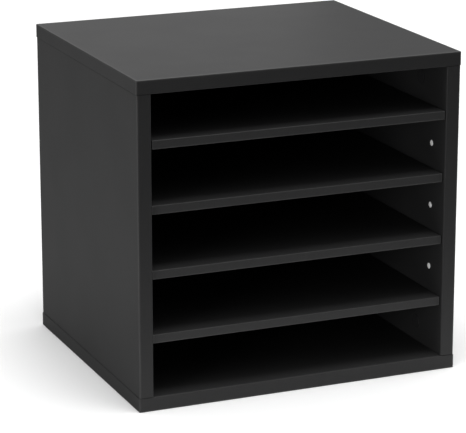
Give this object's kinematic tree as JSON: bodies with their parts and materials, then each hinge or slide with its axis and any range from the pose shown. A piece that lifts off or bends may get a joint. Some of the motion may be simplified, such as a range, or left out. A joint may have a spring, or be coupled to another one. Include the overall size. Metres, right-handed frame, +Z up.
{
  "type": "literature organizer",
  "caption": "Black desktop cabinet of open compartments for papers and binders, with loose shelves on pins between two drilled side panels.",
  "frame": {"origin": "under the middle of the bottom panel, on the surface it stands on", "axes": "+X to the right seen from the open front, +Y to the back, +Z up"},
  "size_m": [0.39, 0.335, 0.375],
  "materials": {
    "panel_laminate": "satin black melamine on particleboard",
    "shelf_laminate": "satin black melamine on thin board",
    "back_board": "matte black lacquered hardboard",
    "edge_band": "satin black edge band",
    "shelf_pin": "nickel plated",
    "hole_cap": "white moulded plastic",
    "cam": "die-cast zinc",
    "cam_cover": "black moulded plastic",
    "bolt": "zinc plated",
    "dowel": "bare beech"
  },
  "bodies": {
    "carcass": {"top_panel": "panel_laminate", "bottom_panel": "panel_laminate", "left_side_panel": "panel_laminate", "right_side_panel": "panel_laminate", "back_panel": "back_board", "top_edging": "edge_band", "bottom_edging": "edge_band", "left_edging": "edge_band", "right_edging": "edge_band", "shelf_1_pins": "shelf_pin", "shelf_2_pins": "shelf_pin", "shelf_3_pins": "shelf_pin", "shelf_4_pins": "shelf_pin", "left_hole_caps": "hole_cap", "right_hole_caps": "hole_cap", "cam_locks": "cam", "cam_covers": "cam_cover", "cam_bolts": "bolt", "dowels": "dowel"},
    "shelf_1": {"shelf_1_board": "shelf_laminate", "shelf_1_edging": "edge_band"},
    "shelf_2": {"shelf_2_board": "shelf_laminate", "shelf_2_edging": "edge_band"},
    "shelf_3": {"shelf_3_board": "shelf_laminate", "shelf_3_edging": "edge_band"},
    "shelf_4": {"shelf_4_board": "shelf_laminate", "shelf_4_edging": "edge_band"}
  },
  "joints": [
    {"name": "shelf_1_slide", "type": "slide", "parent": "carcass", "child": "shelf_1", "axis": [0, -1, 0], "range_m": [0, 0.33]},
    {"name": "shelf_2_slide", "type": "slide", "parent": "carcass", "child": "shelf_2", "axis": [0, -1, 0], "range_m": [0, 0.33]},
    {"name": "shelf_3_slide", "type": "slide", "parent": "carcass", "child": "shelf_3", "axis": [0, -1, 0], "range_m": [0, 0.33]},
    {"name": "shelf_4_slide", "type": "slide", "parent": "carcass", "child": "shelf_4", "axis": [0, -1, 0], "range_m": [0, 0.33]}
  ]
}
